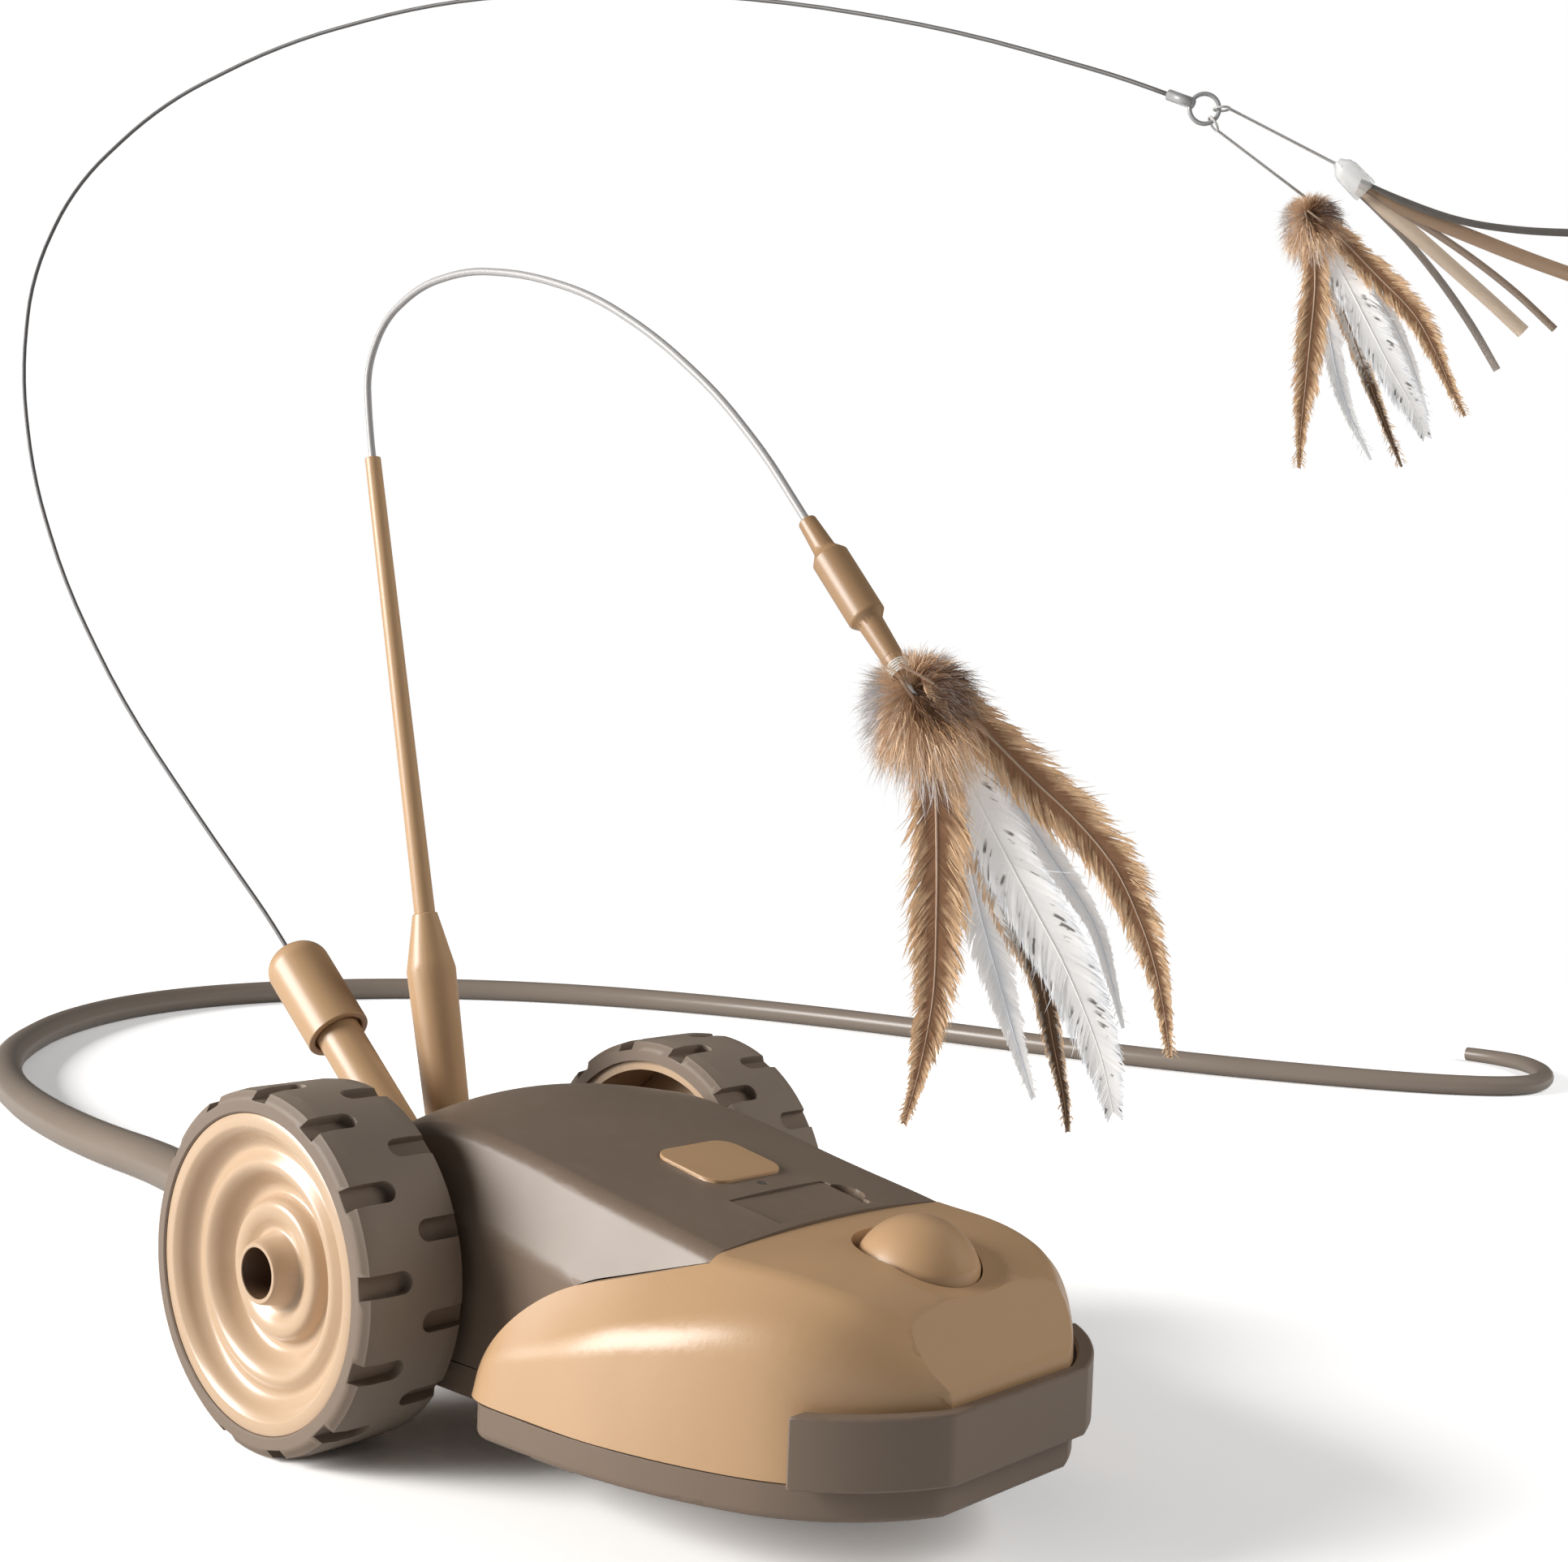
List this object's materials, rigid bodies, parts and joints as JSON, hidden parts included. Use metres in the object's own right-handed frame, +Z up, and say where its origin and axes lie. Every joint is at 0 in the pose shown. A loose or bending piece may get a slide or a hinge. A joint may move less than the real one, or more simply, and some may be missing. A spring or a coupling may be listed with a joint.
{
  "type": "robotic cat toy car",
  "caption": "Two-wheeled toy car for cats with a sloping nose, a dome push button, a ball caster, a long soft tail and spring wire wands that carry feather and ribbon lures.",
  "frame": {"origin": "on the flat underside of the base shell, on the centre plane, straight below the wheel axle", "axes": "+Z up, -Y towards the nose, +X towards the right-hand wheel as the car drives"},
  "size_m": [0.6467, 0.6172, 0.3086],
  "materials": {
    "tan_plastic": "satin",
    "taupe_plastic": "satin",
    "disc_plastic": "gloss",
    "tyre_rubber": "matte",
    "tail_silicone": "satin",
    "steel": "satin",
    "spring_wire": "satin",
    "bush_bronze": "satin",
    "gear_plastic": "satin",
    "motor_can": "satin",
    "bracket_plastic": "satin",
    "board_green": "gloss",
    "switch_black": "satin",
    "port_metal": "gloss",
    "cell_wrap": "satin",
    "ball_plastic": "gloss",
    "wand_wire": "satin",
    "leader_line": "satin",
    "ribbon_cloth": "matte",
    "sleeve_clear": "gloss",
    "feather": "matte",
    "tuft": "matte",
    "tie_thread": "matte",
    "light_lens": "gloss"
  },
  "bodies": {
    "chassis": {"base_shell": "taupe_plastic", "top_cover": "taupe_plastic", "nose_cover": "tan_plastic", "front_bumper": "taupe_plastic", "badge_plate": "tan_plastic", "status_light": "light_lens", "rear_socket_block": "taupe_plastic", "tail_ferrule": "taupe_plastic", "tail": "tail_silicone", "caster_housing": "taupe_plastic", "cover_screws": "steel", "flap_pin": "steel", "battery": "cell_wrap", "circuit_board": "board_green", "button_switch": "switch_black", "button_spring": "steel", "charging_port": "port_metal", "motor_left": "motor_can", "motor_right": "motor_can", "gear_bracket_left": "bracket_plastic", "gear_bracket_right": "bracket_plastic", "axle_bushes": "bush_bronze", "idler_pins": "steel"},
    "caster": {"caster_ball": "ball_plastic"},
    "button": {"power_button": "tan_plastic"},
    "flap": {"charging_flap": "tan_plastic"},
    "wand_a": {"wand_a_holder": "tan_plastic", "wand_a_cap": "tan_plastic", "wand_a_wire": "spring_wire", "lure_ring": "spring_wire"},
    "ribbon_lure": {"ribbon_leader": "leader_line", "ribbon_sleeve": "sleeve_clear", "ribbons": "ribbon_cloth"},
    "feather_lure": {"feather_leader": "leader_line", "fluff_a": "tuft", "feathers_a": "feather"},
    "wand_b": {"wand_b_handle": "tan_plastic", "wand_b_rod": "tan_plastic", "wand_b_wire": "wand_wire"},
    "lure_b": {"lure_b_connector": "tan_plastic", "lure_b_tie": "tie_thread", "fluff_b": "tuft", "feathers_b": "feather"},
    "wheel_left": {"tyre_left": "tyre_rubber", "wheel_disc_left": "disc_plastic", "axle_left": "steel", "hub_screw_left": "steel", "drive_gear_left": "gear_plastic"},
    "idler_left": {"idler_gear_left": "gear_plastic"},
    "pinion_left": {"motor_pinion_left": "gear_plastic"},
    "wheel_right": {"tyre_right": "tyre_rubber", "wheel_disc_right": "disc_plastic", "axle_right": "steel", "hub_screw_right": "steel", "drive_gear_right": "gear_plastic"},
    "idler_right": {"idler_gear_right": "gear_plastic"},
    "pinion_right": {"motor_pinion_right": "gear_plastic"}
  },
  "joints": [
    {"name": "caster_roll", "type": "hinge", "parent": "chassis", "child": "caster", "pos_m": [0, -0.084, -0.0045], "axis": [1, 0, 0], "continuous": true},
    {"name": "button_press", "type": "slide", "parent": "chassis", "child": "button", "axis": [0, 0, -1], "range_m": [0, 0.0015], "stiffness_N_per_m": 300, "springref_m": -0.001, "deforming": ["button_spring"]},
    {"name": "flap_hinge", "type": "hinge", "parent": "chassis", "child": "flap", "pos_m": [-0.0112, -0.07682, 0.03806], "axis": [0, -0.9842, -0.1772], "range_deg": [0, 100]},
    {"name": "wand_a_pull", "type": "slide", "parent": "chassis", "child": "wand_a", "axis": [0, 0.7664, 0.6423], "range_m": [0, 0.012]},
    {"name": "wand_b_pull", "type": "slide", "parent": "chassis", "child": "wand_b", "axis": [0, 0.227, 0.9739], "range_m": [0, 0.012]},
    {"name": "lure_b_pull", "type": "slide", "parent": "wand_b", "child": "lure_b", "axis": [0, -0.6577, -0.7533], "range_m": [0, 0.01]},
    {"name": "ribbon_swing", "type": "hinge", "parent": "wand_a", "child": "ribbon_lure", "pos_m": [0.10317, -0.08369, 0.24982], "axis": [0.745, 0.6671, 0], "range_deg": [-35, 0]},
    {"name": "feather_swing", "type": "hinge", "parent": "wand_a", "child": "feather_lure", "pos_m": [0.10317, -0.08369, 0.24982], "axis": [0.745, 0.6671, 0], "range_deg": [0, 35]},
    {"name": "wheel_left_spin", "type": "hinge", "parent": "chassis", "child": "wheel_left", "pos_m": [0, 0, 0.0205], "axis": [1, 0, 0], "continuous": true},
    {"name": "idler_left_spin", "type": "hinge", "parent": "chassis", "child": "idler_left", "pos_m": [0, -0.01452, 0.0205], "axis": [1, 0, 0], "continuous": true},
    {"name": "pinion_left_spin", "type": "hinge", "parent": "chassis", "child": "pinion_left", "pos_m": [0, -0.02664, 0.0205], "axis": [1, 0, 0], "continuous": true},
    {"name": "wheel_right_spin", "type": "hinge", "parent": "chassis", "child": "wheel_right", "pos_m": [0, 0, 0.0205], "axis": [1, 0, 0], "continuous": true},
    {"name": "idler_right_spin", "type": "hinge", "parent": "chassis", "child": "idler_right", "pos_m": [0, -0.01452, 0.0205], "axis": [1, 0, 0], "continuous": true},
    {"name": "pinion_right_spin", "type": "hinge", "parent": "chassis", "child": "pinion_right", "pos_m": [0, -0.02664, 0.0205], "axis": [1, 0, 0], "continuous": true}
  ],
  "couplings": [
    {"joint": "idler_left_spin", "follows": "wheel_left_spin", "ratio": -3},
    {"joint": "pinion_left_spin", "follows": "wheel_left_spin", "ratio": 9},
    {"joint": "idler_right_spin", "follows": "wheel_right_spin", "ratio": -3},
    {"joint": "pinion_right_spin", "follows": "wheel_right_spin", "ratio": 9}
  ]
}
